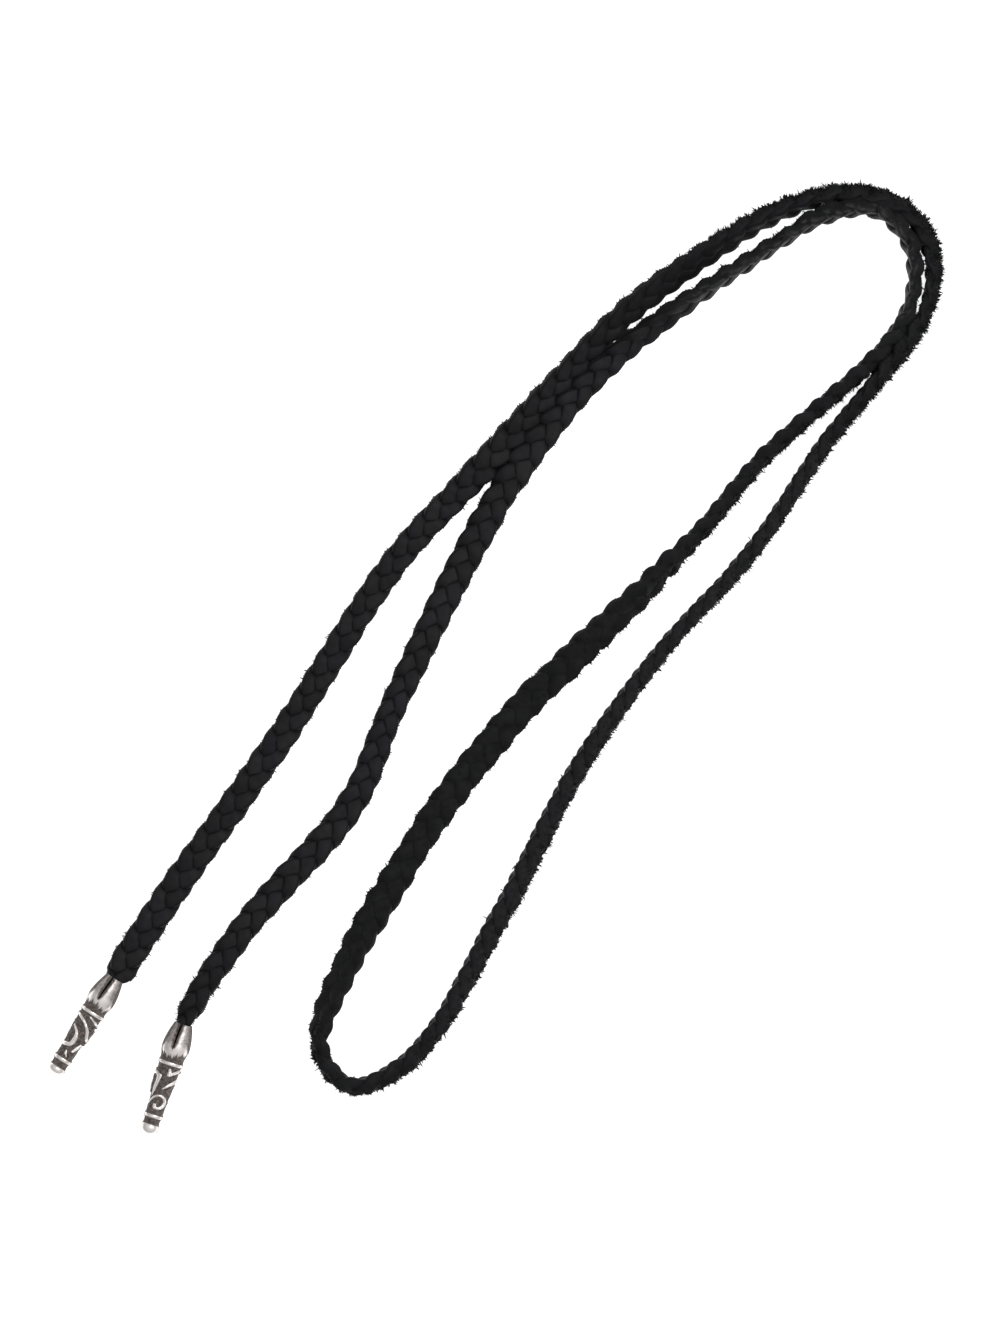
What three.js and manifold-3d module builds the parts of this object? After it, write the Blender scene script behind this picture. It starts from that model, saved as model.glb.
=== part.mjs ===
// A braided leather neck cord with a cast silver tip at each end, laid doubled on a flat surface.
// Millimetres, +Z up. The origin is at the middle of the object's box, on the surface it lies on.
import * as THREE from "three";
import { mergeVertices } from "three/addons/utils/BufferGeometryUtils.js";
import Module from "manifold-3d";

const wasm = await Module();
wasm.setup();

// Braid
const LACE_COUNT = 3;
const BRAID_PERIODS = 63; // full turns of the braid from end to end
const STATIONS_PER_PERIOD = 6;
const BRAID_WIDTH = 6.9; // width and thickness that the section table below is drawn for
const BRAID_THICKNESS = 4.3;

// One lace's section at each station of a period, looking along the cord with the grain side up.
// across, up: the middle of the section. half: half its width. rise: its slope towards +across.
// above, below: how far its two ridges stand off the middle.
const LACE_SECTIONS = [
  { across: 1.4, up: 1.3, half: 1.5, rise: 0.25, above: 0.85, below: 0.85 },
  { across: 2.49, up: 0, half: 0.96, rise: 0, above: 1.6, below: 1.6 },
  { across: 1.4, up: -1.3, half: 1.5, rise: -0.25, above: 0.85, below: 0.85 },
  { across: -1.4, up: 1.3, half: 1.5, rise: -0.25, above: 0.85, below: 0.85 },
  { across: -2.49, up: 0, half: 0.96, rise: 0, above: 1.6, below: 1.6 },
  { across: -1.4, up: -1.3, half: 1.5, rise: 0.25, above: 0.85, below: 0.85 },
];

// The cord's route, seen from above, from inside the left tip to inside the right tip.
// roll: degrees that the grain side is turned from straight up, about the way of travel.
// Columns: x, y, roll, width, thickness
const ROUTE = [
  [-90.4, -78.2, 0, 7.1, 4.2],
  [-76.7, -56.9, 0, 7.2, 4.3],
  [-49.3, -18.0, 0, 6.8, 4.3],
  [-22.9, 22.5, 3, 6.5, 4.3],
  [-4.3, 42.7, 8, 6.7, 4.2],
  [14.0, 63.2, 20, 5.5, 4.0],
  [33.4, 82.1, 34, 6.4, 3.9],
  [66.2, 103.2, 72, 6.5, 3.8],
  [82.2, 107.0, 88, 6.5, 3.5],
  [94.2, 103.1, 90, 6.6, 3.6],
  [100.0, 94.4, 90, 6.6, 3.9],
  [98.8, 79.8, 90, 6.7, 3.5],
  [76.8, 50.6, 90, 6.9, 3.6],
  [59.4, 25.0, 90, 6.9, 3.8],
  [38.3, 1.9, 90, 6.9, 3.8],
  [18.5, -26.0, 90, 6.9, 4.4],
  [3.2, -55.4, 90, 6.9, 4.7],
  [-13.1, -84.4, 90, 6.9, 4.2],
  [-22.0, -94.1, 92, 6.9, 4.2],
  [-33.5, -98.2, 95, 6.9, 3.9],
  [-40.2, -90.2, 102, 6.0, 3.8],
  [-37.2, -76.5, 141, 6.4, 4.1],
  [-16.8, -40.8, 180, 7.1, 4.3],
  [9.3, -8.2, 184, 7.1, 4.3],
  [47.5, 29.7, 270, 5.8, 3.9],
  [63.6, 48.1, 270, 6.6, 3.6],
  [91.2, 73.5, 270, 6.6, 3.4],
  [96.3, 84.5, 270, 6.6, 3.5],
  [95.5, 95.5, 270, 6.6, 3.9],
  [87.2, 102.9, 270, 6.6, 3.4],
  [72.3, 100.2, 272, 6.4, 3.5],
  [51.0, 86.9, 276, 6.3, 3.9],
  [33.4, 74.3, 327, 5.5, 3.9],
  [20.2, 62.0, 352, 5.6, 4.0],
  [1.3, 37.9, 362, 7.0, 4.2],
  [-23.3, -10.3, 360, 6.2, 4.3],
  [-32.9, -32.9, 360, 6.7, 4.3],
  [-56.9, -60.8, 360, 6.5, 4.3],
  [-70.8, -81.6, 360, 5.9, 4.2],
  [-73.4, -89.5, 360, 5.4, 4.2],
];
const BOX_MIDDLE = [0.15, -0.02]; // middle of the whole object's box in the table's x and y
const ROUTE_SAMPLES = 4000;

// Where the laces are gathered into a tip
const INSERT_LENGTH = 6.0; // length of cord inside the cup
const NECK_WIDTH = 2.5;
const NECK_THICKNESS = 2.2;
const LEFT_TAPER = 3.0; // length over which the braid opens out from the cup
const RIGHT_TAPER = 8.0;

// Silver tip, x measured along its axis from the ball's end
const TIP_SIDES = 24;
const TIP_MOUTH = 26.3;
const TIP_DIP = 2.1; // degrees that the axis falls towards the ball, so the tip lies on barrel and cup
const CUP_WIDEST = 20.6;
const CUP_RADIUS = 3.2;
// Columns: x, radius
const TIP_PROFILE = [
  [0, 0],
  [0.25, 0.9],
  [0.8, 1.5],
  [1.6, 1.85],
  [2.2, 1.85],
  [2.4, 1.68],
  [3.5, 1.75],
  [3.6, 2.1],
  [4.1, 2.25],
  [4.6, 2.12],
  [4.7, 1.92],
  [8.0, 2.02],
  [10.5, 2.28],
  [13.0, 2.45],
  [16.3, 2.5],
  [16.4, 2.78],
  [16.85, 2.92],
  [17.3, 2.78],
  [17.4, 2.62],
  [18.6, 2.72],
  [19.4, 3.02],
  [CUP_WIDEST, CUP_RADIUS],
  [22.6, 3.02],
  [24.6, 2.6],
  [TIP_MOUTH, 2.1],
  [TIP_MOUTH, 1.7],
  [24.6, 2.0],
  [22.6, 2.35],
  [20.6, 2.35],
  [20.0, 1.9],
  [20.0, 0],
];
const SLIT_FOOT = 20.0;
const SLIT_HALF_WIDTH = 0.72;
const SLIT_ROUNDING = 1.5; // length over which a slit opens from its pointed foot
const SLIT_CURVE_STEPS = 4;
const SLIT_TURN = -10; // degrees from the top to the nearest slit
const CUT_CLEARANCE = 1.0; // how far a cutting solid reaches past what it cuts

// Scroll relief on the barrel: raised strokes on its two faces.
// Columns of points: x, and millimetres round the barrel from the middle of the face
const SCROLL_RADIUS = 0.34; // half the width of a raised stroke
const SCROLL_SIDES = 5;
const SCROLL_LIFT = 0.1; // how far a stroke's middle lies above the ground
const SCROLL_STEP = 0.75; // length of a stroke's straight pieces
const CURL = [
  [6.6, -2.2],
  [7.8, -1.55],
  [8.9, -0.65],
  [9.1, 0.3],
  [8.3, 1.35],
  [7.2, 1.4],
  [6.2, 0.6],
  [6.2, -0.3],
  [6.8, -0.45],
];
const HOOK = [
  [12.5, -2.0],
  [11.4, -0.6],
  [9.8, -0.1],
  [8.1, -0.4],
  [7.5, -2.1],
];
const SWEEP = [
  [15.4, -4.0],
  [14.9, -1.65],
  [14.1, -0.1],
  [12.7, 1.25],
  [11.0, 2.2],
  [10.4, 3.1],
];
const LEAF = [
  [8.6, -1.8],
  [10.3, -1.7],
  [12.1, -1.5],
  [13.5, -1.45],
  [14.2, -2.65],
];
const SCROLLS = [
  { face: 0, points: CURL },
  { face: 0, points: LEAF },
  { face: 0, points: [[10.7, 0], [11.9, 1.1], [13.2, 2.65]] },
  { face: 0, points: [[15.6, 0.35], [14.3, 0.5]] },
  { face: 0, points: [[14.3, 0.5], [14.9, 1.4], [15.6, 2.6]] },
  { face: 0, points: [[9.3, -3.3], [11.2, -3.9], [13.2, -4.0]] },
  { face: 180, points: SWEEP },
  { face: 180, points: HOOK },
  { face: 180, points: [[6.8, 0.85], [9.0, 1.9]] },
  { face: 180, points: [[15.9, 0.2], [15.3, 1.6], [14.6, 3.2]] },
];
const LEFT_TURN = 180; // degrees that each tip is turned about its axis
const RIGHT_TURN = 0;

// Materials
const leather = { color: 0x24242a, roughness: 0.72, metalness: 0 };
const silver = { color: 0xb9b4aa, roughness: 0.34, metalness: 1 };

// Solids and joins
const WELD_DISTANCE = 1e-4;

function solidOf(geometry) {
  const bare = geometry.clone();
  bare.deleteAttribute("normal");
  bare.deleteAttribute("uv");
  const merged = mergeVertices(bare, WELD_DISTANCE);
  return new wasm.Manifold(
    new wasm.Mesh({
      numProp: 3,
      vertProperties: merged.attributes.position.array,
      triVerts: new Uint32Array(merged.index.array),
    }),
  );
}

function geometryOf(solid) {
  const { vertProperties, triVerts } = solid.getMesh();
  const geometry = new THREE.BufferGeometry();
  geometry.setAttribute("position", new THREE.BufferAttribute(vertProperties, 3));
  geometry.setIndex(new THREE.BufferAttribute(triVerts, 1));
  geometry.computeVertexNormals();
  return geometry;
}

// Route
const routeCurve = new THREE.CatmullRomCurve3(
  ROUTE.map(([x, y]) => new THREE.Vector3(x - BOX_MIDDLE[0], y - BOX_MIDDLE[1], 0)),
);
routeCurve.arcLengthDivisions = ROUTE_SAMPLES;
const CORD_LENGTH = routeCurve.getLength();

// A column of the route table at a place on the route, eased between its rows.
function routeValue(column, t) {
  const place = t * (ROUTE.length - 1);
  const row = Math.min(Math.floor(place), ROUTE.length - 2);
  const ease = THREE.MathUtils.smoothstep(place - row, 0, 1);
  return THREE.MathUtils.lerp(ROUTE[row][column], ROUTE[row + 1][column], ease);
}

// How open the braid is at a distance along the cord: 0 inside a tip, 1 clear of it.
function opening(distance) {
  const left = THREE.MathUtils.smoothstep(distance, INSERT_LENGTH, INSERT_LENGTH + LEFT_TAPER);
  const fromRight = CORD_LENGTH - distance;
  const right = THREE.MathUtils.smoothstep(fromRight, INSERT_LENGTH, INSERT_LENGTH + RIGHT_TAPER);
  return Math.min(left, right);
}

function tipAxisHeight(x) {
  return CUP_RADIUS + (x - CUP_WIDEST) * Math.tan(THREE.MathUtils.degToRad(TIP_DIP));
}

// The four corners of a lace section: towards -across, upper ridge, towards +across, lower ridge.
function sectionCorners({ across, up, half, rise, above, below }) {
  return [
    [across - half, up - rise * half],
    [across, up + above],
    [across + half, up + rise * half],
    [across, up - below],
  ];
}
const CORNERS = LACE_SECTIONS.map(sectionCorners);

// Height of the cord's middle that lays the lowest corner of the braid on the surface.
function restingHeight(roll, widthScale, thicknessScale) {
  const reach = ([across, up]) =>
    Math.abs(across * widthScale * Math.sin(roll)) + Math.abs(up * thicknessScale * Math.cos(roll));
  return Math.max(...CORNERS.flat().map(reach));
}

// The cord's own frame at a distance along it: middle, across and up directions, and section scales.
function cordFrame(distance) {
  const u = distance / CORD_LENGTH;
  const t = routeCurve.getUtoTmapping(u);
  const roll = THREE.MathUtils.degToRad(routeValue(2, t));
  const open = opening(distance);
  const width = THREE.MathUtils.lerp(NECK_WIDTH, routeValue(3, t), open) / BRAID_WIDTH;
  const thickness = THREE.MathUtils.lerp(NECK_THICKNESS, routeValue(4, t), open) / BRAID_THICKNESS;
  const travel = routeCurve.getTangent(t);
  const right = new THREE.Vector3(travel.y, -travel.x, 0);
  const top = new THREE.Vector3(0, 0, 1);
  const across = right.clone().multiplyScalar(Math.cos(roll)).addScaledVector(top, -Math.sin(roll));
  const up = top.clone().multiplyScalar(Math.cos(roll)).addScaledVector(right, Math.sin(roll));
  const fromTip = Math.min(distance, CORD_LENGTH - distance);
  const held = tipAxisHeight(TIP_MOUTH + fromTip - INSERT_LENGTH);
  const middle = routeCurve.getPoint(t);
  middle.z = THREE.MathUtils.lerp(held, restingHeight(roll, width, thickness), open);
  return { middle, across, up, width, thickness, travel };
}

// Laces
// Splits a four-cornered face along the diagonal that lies deeper, which keeps the laces apart.
function inwardFold(positions, [a, b, c, d]) {
  const [pointA, pointB, pointC, pointD] = [a, b, c, d].map((k) =>
    new THREE.Vector3().fromArray(positions, 3 * k),
  );
  const normal = pointB.sub(pointA).cross(pointC.sub(pointA));
  const outside = normal.dot(pointD.sub(pointA)) > 0;
  return outside ? [a, b, c, a, c, d] : [a, b, d, b, c, d];
}

function laceGeometry(lace) {
  const stations = BRAID_PERIODS * STATIONS_PER_PERIOD;
  const shift = (lace * STATIONS_PER_PERIOD) / LACE_COUNT;
  const positions = [];
  const triangles = [];
  for (let station = 0; station <= stations; station++) {
    const frame = cordFrame((CORD_LENGTH * station) / stations);
    for (const [across, up] of CORNERS[(station + shift) % STATIONS_PER_PERIOD]) {
      const corner = frame.middle
        .clone()
        .addScaledVector(frame.across, across * frame.width)
        .addScaledVector(frame.up, up * frame.thickness);
      positions.push(corner.x, corner.y, corner.z);
    }
  }
  for (let station = 0; station < stations; station++) {
    for (let side = 0; side < 4; side++) {
      const a = station * 4 + side;
      const b = station * 4 + ((side + 1) % 4);
      triangles.push(...inwardFold(positions, [a, b, b + 4, a + 4]));
    }
  }
  const last = stations * 4;
  triangles.push(0, 2, 1, 0, 3, 2);
  triangles.push(last, last + 1, last + 2, last, last + 2, last + 3);
  const geometry = new THREE.BufferGeometry();
  geometry.setAttribute("position", new THREE.Float32BufferAttribute(positions, 3));
  geometry.setIndex(triangles);
  geometry.computeVertexNormals();
  return geometry;
}

// Silver tips, made along +X
function groundRadius(x) {
  const row = TIP_PROFILE.findIndex(([end]) => end >= x);
  const [startX, startRadius] = TIP_PROFILE[row - 1];
  const [endX, endRadius] = TIP_PROFILE[row];
  return THREE.MathUtils.mapLinear(x, startX, endX, startRadius, endRadius);
}

function barrelPoint([x, round]) {
  const ground = groundRadius(x);
  const angle = round / ground;
  const radius = ground + SCROLL_LIFT;
  return new THREE.Vector3(x, -radius * Math.sin(angle), radius * Math.cos(angle));
}

function strokeSolid(points) {
  const section = new THREE.Shape();
  for (let side = 0; side < SCROLL_SIDES; side++) {
    const angle = (side / SCROLL_SIDES) * 2 * Math.PI;
    const x = SCROLL_RADIUS * Math.cos(angle);
    const y = SCROLL_RADIUS * Math.sin(angle);
    if (side === 0) {
      section.moveTo(x, y);
    } else {
      section.lineTo(x, y);
    }
  }
  const path = new THREE.CatmullRomCurve3(points.map(barrelPoint));
  const steps = Math.ceil(path.getLength() / SCROLL_STEP);
  return solidOf(new THREE.ExtrudeGeometry(section, { steps, bevelEnabled: false, extrudePath: path }));
}

function slitSolid() {
  const outline = new THREE.Shape();
  const bend = SLIT_FOOT + SLIT_ROUNDING;
  const beyond = TIP_MOUTH + CUT_CLEARANCE;
  outline.moveTo(SLIT_FOOT, 0);
  outline.quadraticCurveTo(bend, -SLIT_HALF_WIDTH, beyond, -SLIT_HALF_WIDTH);
  outline.lineTo(beyond, SLIT_HALF_WIDTH);
  outline.quadraticCurveTo(bend, SLIT_HALF_WIDTH, SLIT_FOOT, 0);
  const depth = 2 * (CUP_RADIUS + CUT_CLEARANCE);
  const options = { depth, bevelEnabled: false, curveSegments: SLIT_CURVE_STEPS };
  const geometry = new THREE.ExtrudeGeometry(outline, options);
  return solidOf(geometry.translate(0, 0, -depth / 2));
}

function tipGeometry() {
  const profile = TIP_PROFILE.map(([x, radius]) => new THREE.Vector2(radius, x));
  const turned = new THREE.LatheGeometry(profile, TIP_SIDES);
  let tip = solidOf(turned.rotateZ(-Math.PI / 2));
  for (const { face, points } of SCROLLS) {
    tip = tip.add(strokeSolid(points).rotate([face, 0, 0]));
  }
  const slit = slitSolid();
  for (const turn of [SLIT_TURN, SLIT_TURN + 90]) {
    tip = tip.subtract(slit.rotate([turn, 0, 0]));
  }
  return geometryOf(tip);
}

// Assembly
const necklace = new THREE.Group();

for (let lace = 0; lace < LACE_COUNT; lace++) {
  const mesh = new THREE.Mesh(laceGeometry(lace), new THREE.MeshStandardMaterial(leather));
  mesh.name = `lace_${lace + 1}`;
  necklace.add(mesh);
}

// A tip whose cup holds the cord's end, lying along the cord's own direction there.
function placeTip(name, distance, turn) {
  const mesh = new THREE.Mesh(tipGeometry(), new THREE.MeshStandardMaterial(silver));
  mesh.name = name;
  mesh.rotation.x = THREE.MathUtils.degToRad(turn);
  const { middle, travel } = cordFrame(distance);
  const inward = distance === 0 ? 1 : -1;
  const holder = new THREE.Group();
  const dip = THREE.MathUtils.degToRad(TIP_DIP);
  holder.rotation.order = "ZYX";
  holder.rotation.z = Math.atan2(travel.y * inward, travel.x * inward);
  holder.rotation.y = -dip;
  const reach = TIP_MOUTH - INSERT_LENGTH;
  holder.position.set(
    middle.x - inward * travel.x * reach * Math.cos(dip),
    middle.y - inward * travel.y * reach * Math.cos(dip),
    tipAxisHeight(0),
  );
  holder.add(mesh);
  necklace.add(holder);
}
placeTip("end_tip_left", 0, LEFT_TURN);
placeTip("end_tip_right", CORD_LENGTH, RIGHT_TURN);

export default necklace;
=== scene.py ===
"""A braided leather neck cord with a cast silver tip on each end, laid doubled on a pale surface.

Metres, +Z up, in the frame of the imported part.
"""

import math
from types import SimpleNamespace

import bmesh
import bpy
import numpy as np
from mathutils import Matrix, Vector, noise


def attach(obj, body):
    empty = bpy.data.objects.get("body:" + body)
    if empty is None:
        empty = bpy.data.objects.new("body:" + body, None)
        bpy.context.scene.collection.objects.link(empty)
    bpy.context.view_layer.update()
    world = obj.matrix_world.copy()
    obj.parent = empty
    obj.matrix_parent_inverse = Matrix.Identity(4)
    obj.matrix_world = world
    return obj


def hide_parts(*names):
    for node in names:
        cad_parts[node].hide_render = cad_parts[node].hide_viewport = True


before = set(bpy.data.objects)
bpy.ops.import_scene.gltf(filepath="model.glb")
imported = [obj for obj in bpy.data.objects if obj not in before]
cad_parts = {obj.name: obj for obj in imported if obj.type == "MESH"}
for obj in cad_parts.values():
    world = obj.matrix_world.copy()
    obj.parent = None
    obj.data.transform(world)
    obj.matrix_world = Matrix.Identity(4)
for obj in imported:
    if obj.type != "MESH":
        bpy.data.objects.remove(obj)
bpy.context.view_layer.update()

# Photograph: size, scale, and the pixel where the frame's origin lies
IMAGE_WIDTH = 1000
IMAGE_HEIGHT = 1333
PIXEL = 0.00023
ORIGIN_PIXEL = (496.65, 658.09)

# Camera, straight above
CAMERA_HEIGHT = 1.5
SHARP_HEIGHT = 0.0035  # height above the surface at which the scale is exact
SENSOR = 36.0  # millimetres
NEAREST_SEEN = 0.01

# Route of the cord from inside the left tip to inside the right tip.
# Columns: x, y, roll of the grain side in degrees, width, thickness
ROUTE = np.array([
    (-0.0904, -0.0782, 0, 0.0071, 0.0042),
    (-0.0767, -0.0569, 0, 0.0072, 0.0043),
    (-0.0493, -0.0180, 0, 0.0068, 0.0043),
    (-0.0229, 0.0225, 3, 0.0065, 0.0043),
    (-0.0043, 0.0427, 8, 0.0067, 0.0042),
    (0.0140, 0.0632, 20, 0.0055, 0.0040),
    (0.0334, 0.0821, 34, 0.0064, 0.0039),
    (0.0662, 0.1032, 72, 0.0065, 0.0038),
    (0.0822, 0.1070, 88, 0.0065, 0.0035),
    (0.0942, 0.1031, 90, 0.0066, 0.0036),
    (0.1000, 0.0944, 90, 0.0066, 0.0039),
    (0.0988, 0.0798, 90, 0.0067, 0.0035),
    (0.0768, 0.0506, 90, 0.0069, 0.0036),
    (0.0594, 0.0250, 90, 0.0069, 0.0038),
    (0.0383, 0.0019, 90, 0.0069, 0.0038),
    (0.0185, -0.0260, 90, 0.0069, 0.0044),
    (0.0032, -0.0554, 90, 0.0069, 0.0047),
    (-0.0131, -0.0844, 90, 0.0069, 0.0042),
    (-0.0220, -0.0941, 92, 0.0069, 0.0042),
    (-0.0335, -0.0982, 95, 0.0069, 0.0039),
    (-0.0402, -0.0902, 102, 0.0060, 0.0038),
    (-0.0372, -0.0765, 141, 0.0064, 0.0041),
    (-0.0168, -0.0408, 180, 0.0071, 0.0043),
    (0.0093, -0.0082, 184, 0.0071, 0.0043),
    (0.0475, 0.0297, 270, 0.0058, 0.0039),
    (0.0636, 0.0481, 270, 0.0066, 0.0036),
    (0.0912, 0.0735, 270, 0.0066, 0.0034),
    (0.0963, 0.0845, 270, 0.0066, 0.0035),
    (0.0955, 0.0955, 270, 0.0066, 0.0039),
    (0.0872, 0.1029, 270, 0.0066, 0.0034),
    (0.0723, 0.1002, 272, 0.0064, 0.0035),
    (0.0510, 0.0869, 276, 0.0063, 0.0039),
    (0.0334, 0.0743, 327, 0.0055, 0.0039),
    (0.0202, 0.0620, 352, 0.0056, 0.0040),
    (0.0013, 0.0379, 362, 0.0070, 0.0042),
    (-0.0233, -0.0103, 360, 0.0062, 0.0043),
    (-0.0329, -0.0329, 360, 0.0067, 0.0043),
    (-0.0569, -0.0608, 360, 0.0065, 0.0043),
    (-0.0708, -0.0816, 360, 0.0059, 0.0042),
    (-0.0734, -0.0895, 360, 0.0054, 0.0042),
])
ROLL_COLUMN = 2
WIDTH_COLUMN = 3
THICKNESS_COLUMN = 4
BOX_MIDDLE = np.array((0.00015, -0.00002))
ROUTE_SAMPLES = 4000

# Where the laces are gathered into a tip
INSERT_LENGTH = 0.006
NECK_WIDTH = 0.0031
NECK_THICKNESS = 0.0027
LEFT_TAPER = 0.0030  # about how far from each cup the braid has opened out
RIGHT_TAPER = 0.0055
NECK_EARLY = 0.0012  # how far inside the cup the laces begin to swell
LEFT_OUT = 0.0006  # how far each tip is drawn off along the cord
RIGHT_OUT = 0.00045
TIP_ASIDE = 0.0002  # how far each tip lies to the left of its end of the cord, seen from ball to mouth
LEFT_BALL = 0.0  # how much longer each ball is than its profile
RIGHT_BALL = 0.0006

# Braid, drawn for a cord of this width and thickness
LACE_COUNT = 3
BRAID_PERIODS = 63
BRAID_WIDTH = 0.0069
BRAID_THICKNESS = 0.0043
FIRST_PHASE = 30  # degrees of swing at which the first lace starts
LACE_SWING = 0.00190  # how far a lace's middle swings to each side
LACE_RISE = 0.00090  # and up and down
LACE_HOLD = 2.0  # how long a lace stays on top before it dives
LACE_FLAT = (0.00198, 0.00120)  # half width and half thickness where a lace crosses over or under
LACE_TURNED = (0.00158, 0.00140)  # and where it turns at the braid's edge
TURN_START = 0.25  # squared swing at which a lace begins to turn
TILTED_RISE = 0.40  # share of the rise left where the cord lies tilted
EDGE_RISE = 0.80  # and where it stands on edge
EDGE_FILL = 0.30  # how much thicker a turning lace grows there
EDGE_SQUEEZE = 0.03  # and how much thinner the whole cord is
EDGE_LEAN = math.radians(6)  # how far the grain side leans, down before the inner bend and up round it
LEAN_CHANGE = (0.742, 0.756)  # where along the cord the lean changes over
LACE_SQUARENESS = 3.4
STEPS_PER_PERIOD = 40
SECTION_SIDES = 20
LACE_LOWEST = 0.00002
# Farthest points of the braid's section, across and up, that the cord can rest on
SECTION_REACH = (
    (0.0001, 0.000925),
    (0.0014, 0.00215),
    (0.0029, 0.001675),
    (0.00249, 0.0016),
    (0.00345, 0),
)
# Stretches where the laces spread out, draw in or lie aside, as runs press together or the cord twists.
# Columns: start, end, extra share of width, extra share of thickness, shift to the right of travel
FITTED = (
    (0.148, 0.193, 0.09, 0, 0.00015),
    (0.196, 0.214, 0, 0, -0.00015),
    (0.240, 0.332, 0, -0.06, 0.00010),
    (0.255, 0.283, 0, 0.06, 0.00012),
    (0.285, 0.300, 0, -0.04, 0),
    (0.302, 0.316, 0, 0.12, 0.00015),
    (0.332, 0.372, 0, -0.01, 0.00025),
    (0.372, 0.400, 0, -0.04, 0),
    (0.467, 0.490, 0, 0, 0.00025),
    (0.514, 0.545, 0, 0, -0.00020),
    (0.548, 0.580, 0.06, 0.04, 0.00020),
    (0.590, 0.632, 0.04, 0.03, -0.00030),
    (0.636, 0.668, 0.04, 0.04, 0.00050),
    (0.657, 0.678, 0.05, 0.14, 0.00010),
    (0.690, 0.710, 0, -0.03, -0.00030),
    (0.736, 0.752, 0, 0.14, 0),
    (0.753, 0.770, 0, -0.11, -0.00030),
    (0.777, 0.797, 0, 0.20, 0.00062),
    (0.800, 0.842, 0, -0.09, -0.00020),
    (0.800, 0.816, 0, 0, -0.00030),
    (0.845, 0.889, 0.09, 0, 0.00018),
    (0.897, 0.942, 0.07, 0, -0.00010),
    (0.975, 1.006, 0.06, 0, -0.00015),
    (1.020, 1.031, -0.06, 0, 0),
)
FITTED_ENDS = 0.004

# How the laces wander along the cord. Columns: size, wavelength
PHASE_WANDER = (0.24, 0.02)  # radians of swing, the same for all laces
WIDTH_WANDER = (0.09, 0.006)
WIDTH_FLUTTER = (0.06, 0.0022)
THICKNESS_WANDER = (0.07, 0.005)
PHASE_SEED = 9
FLUTTER_SEED = 11  # this and the next seed are added to a lace's number
THICKNESS_SEED = 3
WANDER_LINES = 7.3  # distance between the lines of noise that two seeds follow
WANDER_LEVEL = 0.5

# Stretches of the cord with looks of their own. Columns: start, end, softness of both ends
FRAYED_STRETCH = (0.225, 0.335, 0.015)
CLEAN_STRETCH = (0.752, 0.850, 0.004)
DUSTY_STRETCH = (0.335, 0.500, 0.015)
# painted highlight: glints on the grain side round the inner bend
GLINT_STRETCH = (0.752, 0.835, 0.008)
END_STRETCH = 0.022
END_SOFTNESS = 0.006
DARK_END = (1.005, 1.020)

# How frayed the cord is, from 0 to 1
FRAYED_ON_EDGE = 0.55
FRAYED_MORE = 0.45  # added along the frayed stretch
FRAYED_AT_ENDS = 0.40
FRAYED_LESS = 0.7  # share taken off along the clean stretch

# Torn surface: depth on the flesh side, more where it is frayed, and depth all over
TORN_FLESH = 0.00012
TORN_FRAYED = 0.00028
TORN_ALL = 0.00004
TORN_FADE = (-0.3, 0.6)  # heights in a lace's section, from -1 to 1, between which the tearing ends
LUMP_SIZE = 0.0010
FINE_LUMP_SIZE = 0.0005
FINE_LUMP_SHARE = 0.8
FINE_LUMP_SEED = 5

# Where grain, painted glints and painted crease shade show, by place in a lace's section or by height above
# the surface
GRAIN_FADE = (-0.1, 0.6)
TONE_SEED = 70
# painted glints show only between these heights, on the upper part of the cord
GLINT_HEIGHTS = (0.0038, 0.0060)
GLINT_POWER = 4
# painted shade: darker beside each lace and where it dives under another
CREASE_SHADE_SIDES = (0.56, 0.95)
CREASE_SHADE_POWER = 1.4
DIVE_LIFTS = (0.0, 0.85)
DIVE_SHADE = 0.75  # share of the painted crease shade where a lace dives under another
EDGE_SHADE_LESS = 0.8  # share of it taken off where the cord stands on edge
EDGE_SHADE_FADE = (0.60, 0.95)
END_DARKNESS = 0.35  # least darkness at the right end of the cord

# Frayed tufts, counted for each lace
TUFTS = 3300
TUFT_SEED = 40
TUFT_FIBRES = 3.5  # usual number of fibres in a tuft
TUFT_LENGTH = 0.00074
TUFT_LEAST = 0.50  # share of the length that tufts have anywhere
TUFT_LIVELY = 0.50  # and that fraying adds
TUFT_VARIETY = 0.5  # spread of the lengths, as powers of e
TUFT_LIMITS = (0.3, 2.8)
TUFT_LEAN = 0.4  # spread of the directions
TUFT_SPREAD = 0.00013  # distance between the roots of a tuft's fibres
TUFT_SUNK = 0.00015  # how deep the roots lie
FIBRE_REACH = (0.6, 1.1)  # least and greatest share of its tuft's length
FIBRE_RADIUS = 0.000035
CORE_RADIUS = 0.00014  # of the matted middle of a tuft
RADIUS_SHARES = (0.6, 1.4)
STRAY_CHANCE = 0.15
STRAY_SPREAD = 0.00025  # how far off the end of a stray fibre lies, and of any other
FIBRE_SPREAD = 0.00006
FIBRE_BEND = 0.10  # spread of the bends, as a share of the length
FIBRE_SIDES = 3
FIBRE_RINGS = ((0, 1.0), (0.5, 0.7))  # share of the length at each ring, and share of the radius
FIBRE_LOWEST = 0.00001

# Weights of a tuft's chances: on the grain, anywhere, where frayed, where the flesh lies up, on level faces
TUFT_ON_GRAIN = 0.02
TUFT_ANYWHERE = 0.16
TUFT_FRAYED = 1.6
TUFT_FLESH_UP = 0.08
TUFT_LEVEL = 0.15
TUFT_OUTSIDE = 0.9  # how far out in the braid's section a root lies at least
TUFT_AHEAD = 0.001  # how far ahead of its root a tuft has to be clear of the surface below
TUFT_CLEAR = 0.0006

# Tips, x measured along the axis from the ball's end
TIP_MOUTH = 0.0263
BALL_END = 0.0022
TIP_DIP = math.radians(2.1)
CUP_WIDEST = 0.0206
CUP_RADIUS = 0.0032
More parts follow.
